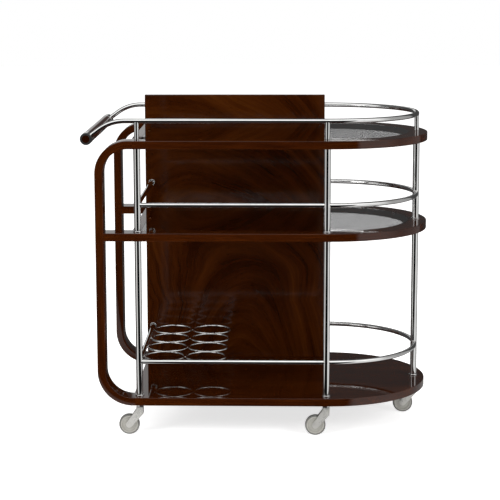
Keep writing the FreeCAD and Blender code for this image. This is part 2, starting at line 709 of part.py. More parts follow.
def caster_fork(place):
    """Swivelling fork: stem, head and two cheeks in one casting."""
    x, y = place
    head_top = board_under_z - SOCKET_HEIGHT - SWIVEL_GAP
    half_width = WHEEL_WIDTH / 2 + WHEEL_SIDE_GAP + FORK_PLATE
    head = block(x - SOCKET_RADIUS, x + SOCKET_RADIUS, y - half_width, y + half_width,
                 head_top - FORK_HEAD_HEIGHT, head_top)
    stem = rod_z(x, y, head_top, board_under_z - SOCKET_HEIGHT + STEM_LENGTH, STEM_RADIUS)
    fork = head.fuse([stem, fork_cheek(x, y, 1), fork_cheek(x, y, -1)]).removeSplitter()
    axle_hole = rod_y(x - CASTER_TRAIL, y - half_width, y + half_width, WHEEL_RADIUS,
                      AXLE_RADIUS + JOINT_GAP)
    wheel_room = rod_y(x - CASTER_TRAIL, y - WHEEL_WIDTH / 2 - WHEEL_SIDE_GAP,
                       y + WHEEL_WIDTH / 2 + WHEEL_SIDE_GAP, WHEEL_RADIUS,
                       WHEEL_RADIUS + 2 * WHEEL_SIDE_GAP)
    return cut_all(fork, [axle_hole, wheel_room])


def caster_axle(place):
    """Riveted axle across a fork."""
    x, y = place
    half = WHEEL_WIDTH / 2 + WHEEL_SIDE_GAP + FORK_PLATE + JOINT_GAP
    hub_x = x - CASTER_TRAIL
    axle = rod_y(hub_x, y - half, y + half, WHEEL_RADIUS, AXLE_RADIUS)
    near = rod_y(hub_x, y - half - AXLE_HEAD_HEIGHT, y - half, WHEEL_RADIUS, AXLE_HEAD_RADIUS)
    far = rod_y(hub_x, y + half, y + half + AXLE_HEAD_HEIGHT, WHEEL_RADIUS, AXLE_HEAD_RADIUS)
    return axle.fuse([near, far])


def turned(x, y, profile):
    """Solid turned about the wheel's axis, from (radius, offset along the axis) pairs."""
    hub_x = x - CASTER_TRAIL
    points = [Vector(hub_x, y + along, WHEEL_RADIUS + radius) for radius, along in profile]
    face = Part.Face(Part.makePolygon(points + points[:1]))
    return face.revolve(Vector(hub_x, y, WHEEL_RADIUS), AXIS_Y, 360)


def caster_wheel(place):
    """Disc wheel: boss, recessed web and rim."""
    x, y = place
    half = WHEEL_WIDTH / 2
    rim_radius = WHEEL_RADIUS - TYRE_DEPTH
    web = half - HUB_WEB_RECESS
    bore = AXLE_RADIUS + RUNNING_GAP
    profile = [(bore, -half), (HUB_BOSS_RADIUS, -half), (HUB_BOSS_RADIUS + HUB_WEB_RECESS, -web),
               (rim_radius - HUB_RIM_WIDTH - HUB_WEB_RECESS, -web),
               (rim_radius - HUB_RIM_WIDTH, -half), (rim_radius, -half)]
    mirrored = [(radius, -along) for radius, along in reversed(profile)]
    return turned(x, y, profile + mirrored)


def caster_tyre(place):
    """Tread around the wheel, with its two outer edges bevelled."""
    x, y = place
    half = WHEEL_WIDTH / 2
    seat = WHEEL_RADIUS - TYRE_DEPTH + TYRE_FIT_GAP
    profile = [(seat, -half), (WHEEL_RADIUS - TYRE_EDGE, -half),
               (WHEEL_RADIUS - TYRE_BEVEL, -half + TYRE_BEVEL),
               (WHEEL_RADIUS, -half + TYRE_EDGE)]
    mirrored = [(radius, -along) for radius, along in reversed(profile)]
    return turned(x, y, profile + mirrored)


# ---- the cart --------------------------------------------------------------------------------------
def main():
    os.makedirs("parts", exist_ok=True)
    save("front_hoop", [hoop(-1)])
    save("back_hoop", [hoop(1)])
    save("top_frame", [top_frame()])
    save("middle_frame", [middle_frame()])
    save("top_cross_rail", [cross_rail(top_z)])
    save("middle_cross_rail", [cross_rail(middle_z)])
    save("bottom_board", [bottom_board()])
    save("back_panel", [back_panel()])
    save("glass_cleats", [glass_cleat(middle_z), glass_cleat(top_z)])
    save("top_glass", [shelf_glass(top_z)])
    save("middle_glass", [shelf_glass(middle_z)])
    save("glass_pads", glass_pads(middle_z) + glass_pads(top_z))

    save("front_left_post", [post(posts[0])])
    save("front_right_post", [post(posts[1])])
    save("end_post", [post(posts[2])])
    save("gallery_posts", [gallery_post(place) for place in posts])
    save("post_collars", [collar(place, z) for place in posts for z in (bottom_z, middle_z)])
    save("post_tie_rods", [tie_rod(place) for place in posts])

    save("top_gallery_rail", [top_gallery_rail()])
    for level, level_z in (("middle", middle_rail_z), ("bottom", bottom_rail_z)):
        save(level + "_front_rail", [front_rail(level_z)])
        save(level + "_end_rail_near", [end_rail_near(level_z)])
        save(level + "_end_rail_far", [end_rail_far(level_z)])
        save(level + "_side_rail", [side_rail(level_z)])
    save("rail_flanges", [rail_flange(middle_rail_z), rail_flange(bottom_rail_z)])
    save("rail_saddles", rail_saddles())
    save("bottle_rings", bottle_rings())

    save("handle_grip", [handle_grip()])
    save("handle_ferrules", [handle_ferrule(-1), handle_ferrule(1)])
    save("handle_end_caps", [handle_end_cap(-1), handle_end_cap(1)])
    save("handle_end_inlays", [handle_inlay(-1), handle_inlay(1)])
    save("handle_set_screws", [set_screw(-1, 0), set_screw(1, 0)])

    save("frame_dowels", splice_dowels(0) + cross_rail_dowels(0))
    save("panel_screws", panel_screws(0))
    save("caster_sockets", [caster_socket(place) for place in caster_places])
    for number, place in enumerate(caster_places, start=1):
        save(f"caster_{number}_fork", [caster_fork(place)])
        save(f"caster_{number}_axle", [caster_axle(place)])
        save(f"caster_{number}_wheel", [caster_wheel(place)])
        save(f"caster_{number}_tyre", [caster_tyre(place)])


main()
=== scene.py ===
# %% [markdown]
# # A rolling bar cart
# The real cart is dark mahogany, smoked glass and chromed tube. Its solids come from a CAD model,
# and this lesson gives them the surfaces and the small workmanship that the solids leave out:
# bentwood hoops whose grain turns the corner, brazed joints, soldered rings, turned wheels and a
# figured veneer. Everything is in metres, with Z up and the cart's open front towards -Y.

# %% Load the frame
import math

import bmesh
import bpy
import numpy as np
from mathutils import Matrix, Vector


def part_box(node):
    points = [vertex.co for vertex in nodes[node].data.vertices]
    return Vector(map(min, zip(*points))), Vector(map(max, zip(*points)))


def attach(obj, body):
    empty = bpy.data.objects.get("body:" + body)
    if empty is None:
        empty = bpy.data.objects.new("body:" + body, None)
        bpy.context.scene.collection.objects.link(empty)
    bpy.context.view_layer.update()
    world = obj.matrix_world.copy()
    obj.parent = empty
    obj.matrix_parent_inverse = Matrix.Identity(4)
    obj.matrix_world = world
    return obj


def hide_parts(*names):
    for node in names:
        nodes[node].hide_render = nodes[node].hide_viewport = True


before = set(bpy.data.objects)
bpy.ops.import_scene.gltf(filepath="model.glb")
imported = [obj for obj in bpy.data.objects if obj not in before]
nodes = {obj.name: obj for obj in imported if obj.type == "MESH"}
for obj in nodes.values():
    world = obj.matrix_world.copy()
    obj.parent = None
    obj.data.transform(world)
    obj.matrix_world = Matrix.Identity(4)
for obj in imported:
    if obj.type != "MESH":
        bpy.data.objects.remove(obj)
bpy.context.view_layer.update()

# %% [markdown]
# ## Places that every step uses
# A piece made here has to sit exactly on the frame. Its place could be typed in as numbers, but
# they would go stale when the CAD changes, so it is measured from the frame's own boxes. Only
# sizes that a box can't give, such as a corner's radius, are written as numbers.

# %% Places measured from the frame
hoop_low, hoop_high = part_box("front_hoop")
post_low, post_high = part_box("front_left_post")
right_low, right_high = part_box("front_right_post")
end_low, end_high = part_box("end_post")
board_low, board_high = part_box("bottom_board")

half_depth = board_high.y
arc_x = board_high.x - half_depth
rail_y = -(post_low.y + post_high.y) / 2
post_radius = (post_high.x - post_low.x) / 2
left_x = (post_low.x + post_high.x) / 2
right_x = (right_low.x + right_high.x) / 2
end_x = (end_low.x + end_high.x) / 2
rail_z = {}
for level in ("middle", "bottom"):
    low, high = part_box(level + "_front_rail")
    rail_z[level] = (low.z + high.z) / 2
tube_radius = (high.z - low.z) / 2
print("posts at x", [round(x, 4) for x in (left_x, right_x, end_x)], "rail_y", round(rail_y, 4))


# %% [markdown]
# ## Putting a worked-out surface into a mesh
# A surface here is a grid of points: one parameter runs along it and the other across it. Numpy
# works out all the points at once, and one function turns any such grid into a mesh. Where a
# direction closes on itself, the last row joins the first. An open tube gets a flat face on each
# end, so every piece is a closed solid.

# %% From a grid of points to a mesh object
def skin(name, grid, wrap_along, wrap_across, material, caps=False, lengths=None):
    """Mesh over a grid of points: face (i, j) joins rows i and i + 1 and columns j and j + 1."""
    along, across = grid.shape[:2]
    rows = np.arange(along if wrap_along else along - 1)
    columns = np.arange(across if wrap_across else across - 1)
    i, j = (part.ravel() for part in np.meshgrid(rows, columns, indexing="ij"))
    next_i, next_j = (i + 1) % along, (j + 1) % across
    quads = np.stack([i * across + j, next_i * across + j,
                      next_i * across + next_j, i * across + next_j], 1)
    faces = quads.tolist()
    if caps:
        faces.append(list(range(across))[::-1])
        faces.append([(along - 1) * across + k for k in range(across)])
    mesh = bpy.data.meshes.new(name)
    mesh.from_pydata(grid.reshape(-1, 3).tolist(), [], faces)
    if lengths is not None:
        uv = mesh.uv_layers.new(name="grain")
        side, over = lengths
        corners = np.stack([np.stack([side[i], over[j]], 1), np.stack([side[i + 1], over[j]], 1),
                            np.stack([side[i + 1], over[j + 1]], 1),
                            np.stack([side[i], over[j + 1]], 1)], 1).reshape(-1, 2)
        coordinates = np.zeros((len(mesh.loops), 2), np.float32)
        coordinates[:len(corners)] = corners
        uv.data.foreach_set("uv", coordinates.ravel())
    return finished(mesh, name, material)


def finished(mesh, name, material, sharp_angle=40.0):
    """Object for a mesh, with its faces outwards, smooth except across sharp corners."""
    shape = bmesh.new()
    shape.from_mesh(mesh)
    bmesh.ops.recalc_face_normals(shape, faces=shape.faces)
    for edge in shape.edges:
        joined = len(edge.link_faces) == 2
        edge.smooth = not joined or edge.calc_face_angle() < math.radians(sharp_angle)
    for face in shape.faces:
        face.smooth = True
    shape.to_mesh(mesh)
    shape.free()
    piece = bpy.data.objects.new(name, mesh)
    bpy.context.scene.collection.objects.link(piece)
    piece.data.materials.append(material)
    return piece


print("a surface is made by", skin.__name__, "and given its faces by", finished.__name__)


# %% [markdown]
# ## Talking to shader nodes in one line
# A material is a small network of nodes. It could be joined up by hand in the shader editor, but
# then nobody could read why. These helpers keep each recipe short: one adds a node and fills its
# sockets, one does arithmetic, and two blend colours along a value.

# %% Shader helpers
def put(tree, kind, settings=None, **inputs):
    """Add a node. A value fills a socket, and another node's output is linked to it."""
    node = tree.nodes.new("ShaderNode" + kind)
    for key, value in (settings or {}).items():
        setattr(node, key, value)
    for key, value in inputs.items():
        place = int(key[4:]) if key.startswith("slot") else key.replace("_", " ")
        socket = node.inputs[place]
        if isinstance(value, bpy.types.NodeSocket):
            tree.links.new(value, socket)
        else:
            socket.default_value = value
    return node


def sums(tree, operation, first, second=0.0, third=0.0):
    """One arithmetic step on numbers or outputs."""
    node = put(tree, "Math", {"operation": operation}, slot0=first, slot1=second, slot2=third)
    return node.outputs[0]


def tones(tree, value, stops):
    """Colour ramp: (place, colour) pairs."""
    node = put(tree, "ValToRGB", slot0=value)
    ramp = node.color_ramp
    while len(ramp.elements) < len(stops):
        ramp.elements.new(1.0)
    for element, (place, colour) in zip(ramp.elements, stops):
        element.position = place
        element.color = (*colour, 1.0)
    return node.outputs[0]


def blend(tree, share, first, second):
    """Colour that goes from first to second as the share goes from 0 to 1."""
    node = put(tree, "Mix", {"data_type": "RGBA"}, Factor=share, A=first, B=second)
    return node.outputs["Result"]


# %% Helpers for a material's surface
def new_material(name, **constants):
    """Material with a Principled shader, whose plain numbers are set on its own sockets."""
    material = bpy.data.materials.new(name)
    material.use_nodes = True
    shader = material.node_tree.nodes["Principled BSDF"]
    for key, value in constants.items():
        shader.inputs[key.replace("_", " ")].default_value = value
    return material, material.node_tree, shader


def relief(tree, shader, height, distance, strength, layer="Normal"):
    """Bump on one layer of a shader, from a height between 0 and 1."""
    bump = put(tree, "Bump", Strength=strength, Distance=distance, Height=height)
    tree.links.new(bump.outputs[0], shader.inputs[layer])


def noise(tree, vector, scale, detail=3.0, roughness=0.55):
    """Noise value at a place."""
    return put(tree, "TexNoise", Vector=vector, Scale=scale, Detail=detail,
               Roughness=roughness).outputs[0]


def object_place(tree):
    """Place on the piece in metres, from its own origin."""
    return put(tree, "TexCoord").outputs["Object"]


print("shader helpers:", [f.__name__ for f in (put, sums, tones, blend, relief, noise)])


# %% [markdown]
# ## Lacquered mahogany
# The bands and the board are mahogany, stained nearly black and sprayed with clear gloss. Wood
# shows long soft streaks, short dark pores along the grain, and a slow drift of tone. All three
# are one noise, stretched by different amounts along the grain. The lacquer is the shader's own
# coat, so highlights stay clean while the wood below stays matt.

# %% Wood recipe
DEEP = (0.0130, 0.0024, 0.0003)
BROWN = (0.0275, 0.0055, 0.0006)
RED = (0.0480, 0.0110, 0.0014)
PORE_LEVEL = 0.36
LACQUER_IOR = 1.5


def lacquered_wood(name, grain_place, gloss=0.035, warmth=1.0):
    """Dark mahogany under clear lacquer. grain_place(tree) gives the place as a vector whose X
    runs along the grain, in metres."""
    material, tree, shader = new_material(
        name, Roughness=0.42, Specular_IOR_Level=0.0, Coat_Weight=1.0, Coat_Roughness=gloss,
        Coat_IOR=LACQUER_IOR)
    place = grain_place(tree)
    fibre = put(tree, "Mapping", Vector=place, Scale=(9.0, 260.0, 260.0)).outputs[0]
    streak = noise(tree, fibre, 1.0, 5.0, 0.62)
    drift_place = put(tree, "Mapping", Vector=place, Scale=(2.2, 17.0, 17.0)).outputs[0]
    drift = noise(tree, drift_place, 1.0, 3.0, 0.5)
    pore_place = put(tree, "Mapping", Vector=place, Scale=(95.0, 1500.0, 1500.0)).outputs[0]
    pores = noise(tree, pore_place, 1.0, 1.0, 0.4)
    mixed = sums(tree, "MULTIPLY_ADD", streak, 0.55, sums(tree, "MULTIPLY", drift, 0.6))
    shade = [tuple(channel * warmth for channel in colour) for colour in (DEEP, BROWN, RED)]
    colour = tones(tree, mixed, [(0.42, shade[0]), (0.58, shade[1]), (0.74, shade[2])])
    pore_mask = sums(tree, "MULTIPLY", sums(tree, "LESS_THAN", pores, PORE_LEVEL), 0.6)
    tree.links.new(blend(tree, pore_mask, colour, (*DEEP, 1.0)), shader.inputs["Base Color"])
    flow = noise(tree, object_place(tree), 34.0, 2.0, 0.5)
    relief(tree, shader, flow, 0.0004, 0.12, "Coat Normal")
    relief(tree, shader, streak, 0.0001, 0.35)
    return material


print("wood from", DEEP, "through", BROWN, "to", RED)


# %% [markdown]
# Wood colour alone isn't enough: the grain has to run the way the piece was cut. A straight rail
# needs only its object's axes. A band bent round the D has grain that turns with it, so its place
# is worked out as the distance run along the straight side and then round the end.

# %% Directions that the grain follows
def along_x(tree):
    """Grain along X."""
    return object_place(tree)


def along_y(tree):
    """Grain along Y."""
    place = object_place(tree)
    return put(tree, "Mapping", Vector=place, Rotation=(0, 0, math.pi / 2)).outputs[0]


def round_the_d(tree):
    """Grain round the D: length = min(x, arc) + radius * angle, and reach from its middle line."""
    x, y, z = put(tree, "SeparateXYZ", slot0=object_place(tree)).outputs
    past = sums(tree, "MAXIMUM", sums(tree, "SUBTRACT", x, arc_x), 0.0)
    width = sums(tree, "ABSOLUTE", y)
    turn = sums(tree, "ARCTAN2", past, width)
    length = sums(tree, "MULTIPLY_ADD", turn, half_depth, sums(tree, "MINIMUM", x, arc_x))
    reach = sums(tree, "SQRT", sums(tree, "ADD", sums(tree, "MULTIPLY", past, past),
                                    sums(tree, "MULTIPLY", y, y)))
    return put(tree, "CombineXYZ", slot0=length, slot1=reach, slot2=z).outputs[0]


def along_strip(tree):
    """Grain along a bent strip, from its own UV map: U along it and V round its section."""
    return put(tree, "UVMap", {"uv_map": "grain"}).outputs[0]


# %% Wood finishes
band_wood = lacquered_wood("mahogany_round_band", round_the_d)
board_wood = lacquered_wood("mahogany_board", along_x, gloss=0.02)
rail_wood = lacquered_wood("mahogany_cross_rail", along_y)
strip_wood = lacquered_wood("mahogany_bent_strip", along_strip)
grip_wood = lacquered_wood("mahogany_turned_grip", along_y, gloss=0.05, warmth=1.15)
inlay_wood = lacquered_wood("mahogany_end_inlay", along_x, gloss=0.05, warmth=0.45)
woods = (band_wood, board_wood, rail_wood, strip_wood, grip_wood, inlay_wood)
print("wood finishes:", [wood.name for wood in woods])


# %% [markdown]
# ## Crotch veneer for the tall panel
# The panel is faced with veneer cut where the trunk forks. Its figure is a set of nested arches
# that open downwards and lean to one side. Stretched noise alone would give straight grain, so
# the arches are worked out first: each is the curve on which height plus the squared distance
# from a leaning spine, over a spread, stays the same. Noise along that value gives the streaks,
# and a slow warp keeps the arches from looking drawn.

# %% Figured veneer
SPINE_X = -0.050
SPINE_LEAN = 0.50
SPINE_KNEE_Z = 0.35
ARCH_SPREAD = 0.115
ARCH_OPENING = 0.90
ARCH_OPENING_Z = 0.25
ARCH_LINES = 21.0
WANDER = 0.060
VENEER_TONES = [(0.40, (0.0180, 0.0032, 0.0002)), (0.50, (0.0285, 0.0058, 0.0004)),
                (0.60, (0.0420, 0.0094, 0.0008)), (0.72, (0.0640, 0.0165, 0.0020))]


def figured_veneer():
    """Mahogany with arched figure on the panel's broad faces."""
    material, tree, shader = new_material(
        "figured_veneer", Roughness=0.40, Specular_IOR_Level=0.0, Coat_Weight=0.7,
        Coat_Roughness=0.08, Coat_IOR=LACQUER_IOR)
    place = object_place(tree)
    bend = put(tree, "TexNoise", {"noise_dimensions": "3D"}, Vector=place, Scale=4.5, Detail=1.0)
    wander = put(tree, "VectorMath", {"operation": "SUBTRACT"}, slot0=bend.outputs["Color"],
                 slot1=(0.5, 0.5, 0.5)).outputs[0]
    wander = put(tree, "VectorMath", {"operation": "SCALE"}, slot0=wander, Scale=WANDER).outputs[0]
    warped = put(tree, "VectorMath", {"operation": "ADD"}, slot0=place, slot1=wander).outputs[0]
    x, y, z = put(tree, "SeparateXYZ", slot0=warped).outputs
    rise = sums(tree, "MAXIMUM", sums(tree, "SUBTRACT", z, SPINE_KNEE_Z), 0.0)
    spine = sums(tree, "MULTIPLY_ADD", rise, -SPINE_LEAN, SPINE_X)
    aside = sums(tree, "SUBTRACT", x, spine)
    opening = sums(tree, "MAXIMUM", sums(tree, "SUBTRACT", z, ARCH_OPENING_Z), 0.0)
    spread = sums(tree, "MULTIPLY_ADD", opening, ARCH_OPENING, ARCH_SPREAD)
    arch = sums(tree, "ADD", z, sums(tree, "DIVIDE", sums(tree, "MULTIPLY", aside, aside), spread))
    lines = put(tree, "CombineXYZ", slot0=sums(tree, "MULTIPLY", arch, ARCH_LINES),
                slot1=sums(tree, "MULTIPLY", aside, 3.0),
                slot2=sums(tree, "MULTIPLY", z, 2.0)).outputs[0]
    broad = noise(tree, lines, 1.0, 4.0, 0.6)
    fine_place = put(tree, "Mapping", Vector=lines, Scale=(7.0, 4.0, 1.0)).outputs[0]
    fine = noise(tree, fine_place, 1.0, 5.0, 0.65)
    pore_place = put(tree, "Mapping", Vector=lines, Scale=(60.0, 38.0, 30.0)).outputs[0]
    pores = noise(tree, pore_place, 1.0, 1.0, 0.4)
    patches = noise(tree, place, 3.2, 2.0, 0.5)
    mixed = sums(tree, "MULTIPLY_ADD", broad, 0.66, sums(tree, "MULTIPLY", fine, 0.18))
    mixed = sums(tree, "MULTIPLY_ADD", patches, 0.26, mixed)
    pore_mask = sums(tree, "MULTIPLY", sums(tree, "LESS_THAN", pores, PORE_LEVEL), 0.5)
    colour = blend(tree, pore_mask, tones(tree, mixed, VENEER_TONES), (*DEEP, 1.0))
    tree.links.new(colour, shader.inputs["Base Color"])
    relief(tree, shader, noise(tree, place, 22.0, 2.0, 0.5), 0.0006, 0.15, "Coat Normal")
    relief(tree, shader, fine, 0.0001, 0.3)
    return material


veneer = figured_veneer()
print("veneer:", veneer.name)


# %% [markdown]
# ## Metals
# Chrome plate is a mirror over steel. It could be one metal with one roughness, but a perfect
# mirror looks drawn, so the roughness drifts a little, with faint polishing lines and rubbed
# patches. The casters are cast in zinc and plated in satin nickel: rougher, with the soft grain
# of the casting. One recipe serves every metal, and only its colour and its numbers change.

# %% Metal finishes
def plated_metal(name, colour, smooth, rough, grain, ripple, bare=1.0):
    """Plated metal whose roughness runs from smooth to rough in patches and fine lines."""
    material, tree, shader = new_material(name, Metallic=bare)
    place = object_place(tree)
    patches = noise(tree, place, 26.0, 4.0, 0.6)
    fine_place = put(tree, "Mapping", Vector=place, Scale=(grain,) * 3).outputs[0]
    lines = noise(tree, fine_place, 1.0, 3.0, 0.6)
    mixed = sums(tree, "MULTIPLY_ADD", lines, 0.35, sums(tree, "MULTIPLY", patches, 0.65))
    roughness = put(tree, "MapRange", Value=mixed, From_Min=0.3, From_Max=0.7, To_Min=smooth,
                    To_Max=rough)
    tree.links.new(roughness.outputs[0], shader.inputs["Roughness"])
    darker = tuple(channel * 0.90 for channel in colour)
    tint = tones(tree, patches, [(0.35, darker), (0.62, colour)])
    tree.links.new(tint, shader.inputs["Base Color"])
    relief(tree, shader, mixed, ripple, 0.25)
    return material


# %% The cart's metals
wire_chrome = plated_metal("chromed_wire", (0.90, 0.90, 0.89), 0.05, 0.10, 420.0, 0.00003)
chrome = plated_metal("chrome_plate", (0.86, 0.86, 0.85), 0.020, 0.050, 420.0, 0.00002)
nickel = plated_metal("satin_nickel_casting", (0.60, 0.59, 0.56), 0.22, 0.36, 900.0, 0.00006, 0.45)
zinc = plated_metal("zinc_plated_steel", (0.62, 0.62, 0.60), 0.25, 0.42, 700.0, 0.00005)
black_steel = plated_metal("blackened_steel", (0.05, 0.05, 0.05), 0.25, 0.40, 700.0, 0.00004)
solder = plated_metal("bright_solder", (0.86, 0.85, 0.83), 0.08, 0.16, 300.0, 0.00004)
metals = (wire_chrome, chrome, nickel, zinc, black_steel, solder)
print("metals:", [metal.name for metal in metals])


# %% [markdown]
# ## Glass, plastics and rubber
# Smoked glass is clear glass coloured through. A see-through grey sheet would render sooner, but
# it wouldn't bend light or brighten at a slant, so this shader passes light and tints it. A faint
# unevenness in the surface makes the reflections wander as float glass does. Moulded plastics
# carry a fine orange peel, and rubber a matt grain with a little dust in it.

# %% Glass, plastic and rubber finishes
def smoked_glass():
    """Grey glass with a slightly uneven tint and a faintly wavy face."""
    material, tree, shader = new_material("smoked_glass", Roughness=0.0, IOR=1.5,
                                          Transmission_Weight=1.0)
    place = object_place(tree)
    tint = tones(tree, noise(tree, place, 3.0, 2.0), [(0.3, (0.525, 0.525, 0.529)),
                                                      (0.7, (0.550, 0.548, 0.547))])
    tree.links.new(tint, shader.inputs["Base Color"])
    relief(tree, shader, noise(tree, place, 7.0, 1.0), 0.00008, 0.3)
    return material


def moulded(name, colour, roughness, grain, depth, dust, coat=0.0):
    """Moulded plastic or rubber: fine grain, and a little dust caught in it."""
    material, tree, shader = new_material(name, Roughness=roughness, Coat_Weight=coat,
                                          Coat_Roughness=0.08)
    place = object_place(tree)
    cloud = noise(tree, place, 60.0, 4.0, 0.6)
    dusty = tuple(min(1.0, channel * (1.0 - dust) + 0.5 * dust) for channel in colour)
    tint = tones(tree, cloud, [(0.38, colour), (0.72, dusty)])
    tree.links.new(tint, shader.inputs["Base Color"])
    relief(tree, shader, noise(tree, place, grain, 2.0), depth, 0.5)
    return material


# %% The cart's glass, plastics and rubber
glass = smoked_glass()
black_cap = moulded("black_gloss_cap", (0.012, 0.012, 0.012), 0.35, 900.0, 0.00003, 0.02, 0.6)
silver_disc = moulded("silver_moulded_disc", (0.37, 0.36, 0.325), 0.38, 1400.0, 0.00004, 0.10, 0.3)
grey_tread = moulded("grey_tread", (0.13, 0.127, 0.115), 0.62, 1600.0, 0.00008, 0.18)
clear_pad = moulded("clear_pad", (0.62, 0.62, 0.61), 0.30, 800.0, 0.00003, 0.08)
beech = moulded("beech_dowel", (0.42, 0.29, 0.17), 0.60, 500.0, 0.0001, 0.10)
others = (glass, black_cap, silver_disc, grey_tread, clear_pad, beech)
print("others:", [finish.name for finish in others])


# %% [markdown]
# ## Dressing the CAD nodes
# Every node takes the finish of its real material. Each could be dressed by hand, but a table of
# finish to node names says it once, and whatever the table leaves out is chromed tube.

# %% Finishes on the CAD nodes
finish_of = {
    veneer: ["back_panel"],
    band_wood: ["top_frame", "middle_frame", "front_hoop", "back_hoop"],
    board_wood: ["bottom_board", "glass_cleats"],
    rail_wood: ["top_cross_rail", "middle_cross_rail"],
    grip_wood: ["handle_grip"],
    inlay_wood: ["handle_end_inlays"],
    wire_chrome: ["bottle_rings"],
    glass: ["top_glass", "middle_glass"],
    clear_pad: ["glass_pads"],
    beech: ["frame_dowels"],
    black_cap: ["handle_end_caps"],
    black_steel: ["handle_set_screws"],
    zinc: ["panel_screws", "post_tie_rods"],
}
for number in range(1, 6):
    finish_of.setdefault(nickel, []).extend([f"caster_{number}_fork", f"caster_{number}_axle"])
    finish_of.setdefault(silver_disc, []).append(f"caster_{number}_wheel")
    finish_of.setdefault(grey_tread, []).append(f"caster_{number}_tyre")
dressed = {}
for finish, names in finish_of.items():
    for name in names:
        dressed[name] = finish
for name, node in nodes.items():
    node.data.materials.clear()
    node.data.materials.append(dressed.get(name, chrome))
print("dressed", len(nodes), "nodes,", len(nodes) - len(dressed), "of them in chrome")


# %% [markdown]
# ## Bentwood hoops
# Each hoop is a strip of thin mahogany plies, bent round a mould and glued. It could be cut from
# a board, but then the grain would run straight through the corners. Here the strip's section, a
# rectangle with eased corners, is carried along the outer line of the C. Every point is the outer
# line plus the section's depth times the inward normal, so the inner side gets its smaller radius
# by itself, and the UV map holds the length run, which the grain uses.

# %% Hoop sizes and the strip's section
HOOP_TOP_RADIUS = 0.082
HOOP_BOTTOM_RADIUS = 0.088
STRIP_EASING = 0.0012
strip_thickness = board_high.z - board_low.z
strip_width = hoop_high.y - hoop_low.y


def eased_rectangle(width, height, radius, steps=5):
    """Closed outline, (across, depth) pairs: four corner arcs joined by the straight sides."""
    turn = np.linspace(0.0, np.pi / 2, steps)
    side, deep = width / 2 - radius, height - radius
    centres = np.array([[side, deep], [-side, deep], [-side, radius], [side, radius]])
    quarter = np.arange(4)[:, None] * np.pi / 2 + turn[None, :]
    ring = np.stack([np.cos(quarter), np.sin(quarter)], 2) * radius
    return (centres[:, None, :] + ring).reshape(-1, 2)


def hoop_line(steps=28):
    """Outer line of the C and its inward normals in the XZ plane, top end first."""
    low, high = hoop_low.z, hoop_high.z
    left, right = hoop_low.x, hoop_high.x
    top = np.linspace(np.pi / 2, np.pi, steps)
    foot = np.linspace(np.pi, 1.5 * np.pi, steps)
    turn = np.concatenate([top, foot])
    outward = np.stack([np.cos(turn), np.sin(turn)], 1)
    centres = np.concatenate([
        np.tile([left + HOOP_TOP_RADIUS, high - HOOP_TOP_RADIUS], (steps, 1)),
        np.tile([left + HOOP_BOTTOM_RADIUS, low + HOOP_BOTTOM_RADIUS], (steps, 1))])
    radii = np.repeat([HOOP_TOP_RADIUS, HOOP_BOTTOM_RADIUS], steps)[:, None]
    line = np.concatenate([[[right, high]], centres + outward * radii, [[right, low]]])
    normals = -np.concatenate([[[0.0, 1.0]], outward, [[0.0, -1.0]]])
    return line, normals


print("strip", round(strip_width, 4), "x", round(strip_thickness, 4))


# %% Bend the two hoops
def bent_hoop(name, middle_y):
    """Point = outer line + depth * inward normal, at middle_y + across."""
    line, normals = hoop_line()
    outline = eased_rectangle(strip_width, strip_thickness, STRIP_EASING)
    across, depth = outline[:, 0], outline[:, 1]
    flat = line[:, None, :] + normals[:, None, :] * depth[None, :, None]
    width = np.broadcast_to(middle_y + across[None, :], flat.shape[:2])
    grid = np.stack([flat[:, :, 0], width, flat[:, :, 1]], 2)
    run = np.concatenate([[0.0], np.cumsum(np.hypot(*np.diff(line, axis=0).T))])
    closed = np.concatenate([outline, outline[:1]])
    girth = np.concatenate([[0.0], np.cumsum(np.hypot(*np.diff(closed, axis=0).T))])
    piece = skin(name, grid, False, True, strip_wood, caps=True, lengths=(run, girth))
    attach(piece, "cart")
    return piece


for name, node, side in (("bent_hoop_front", "front_hoop", -1), ("bent_hoop_back", "back_hoop", 1)):
    hoop = bent_hoop(name, side * (half_depth - strip_width / 2))
    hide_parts(node)
    print(name, len(hoop.data.polygons), "faces")


# %% [markdown]
# ## Turned wheels and tyres
# A caster's wheel is moulded on a spindle, so its whole shape is one profile spun round the axle.
# The profile is a short list of corners, and each corner is rounded by a curve through it:
# (1-t)^2 * the point before + 2t(1-t) * the corner + t^2 * the point after. Spinning the rounded
# profile gives soft rims that catch a thin light, as moulded edges do.

# %% Profiles that spin round an axle
ROUNDING_SHARE = 0.45


def rounded(corners, radius, steps=5):
    """Closed outline with each corner replaced by a curve that starts and ends radius away."""
    corners = np.asarray(corners, float)
    before = np.roll(corners, 1, 0) - corners
    after = np.roll(corners, -1, 0) - corners
    lengths = [np.linalg.norm(side, axis=1) for side in (before, after)]
    reach = [np.minimum(radius, ROUNDING_SHARE * length) / length for length in lengths]
    first = (corners + before * reach[0][:, None])[:, None]
    last = (corners + after * reach[1][:, None])[:, None]
    t = np.linspace(0.0, 1.0, steps)[None, :, None]
    curve = (1 - t) ** 2 * first + 2 * t * (1 - t) * corners[:, None] + t ** 2 * last
    return curve.reshape(-1, 2)


def spun(centre, outline, around=96):
    """Grid of a profile, (radius, along Y) pairs, turned about the Y axis through a centre."""
    turn = np.linspace(0.0, 2 * np.pi, around, endpoint=False)[:, None]
    radius, along = outline[None, :, 0], outline[None, :, 1]
    across = np.broadcast_to(centre.y + along, (around, len(outline)))
    return np.stack([centre.x + radius * np.cos(turn), across,
                     centre.z + radius * np.sin(turn)], 2)


print("a profile is eased by", rounded.__name__, "and turned by", spun.__name__)


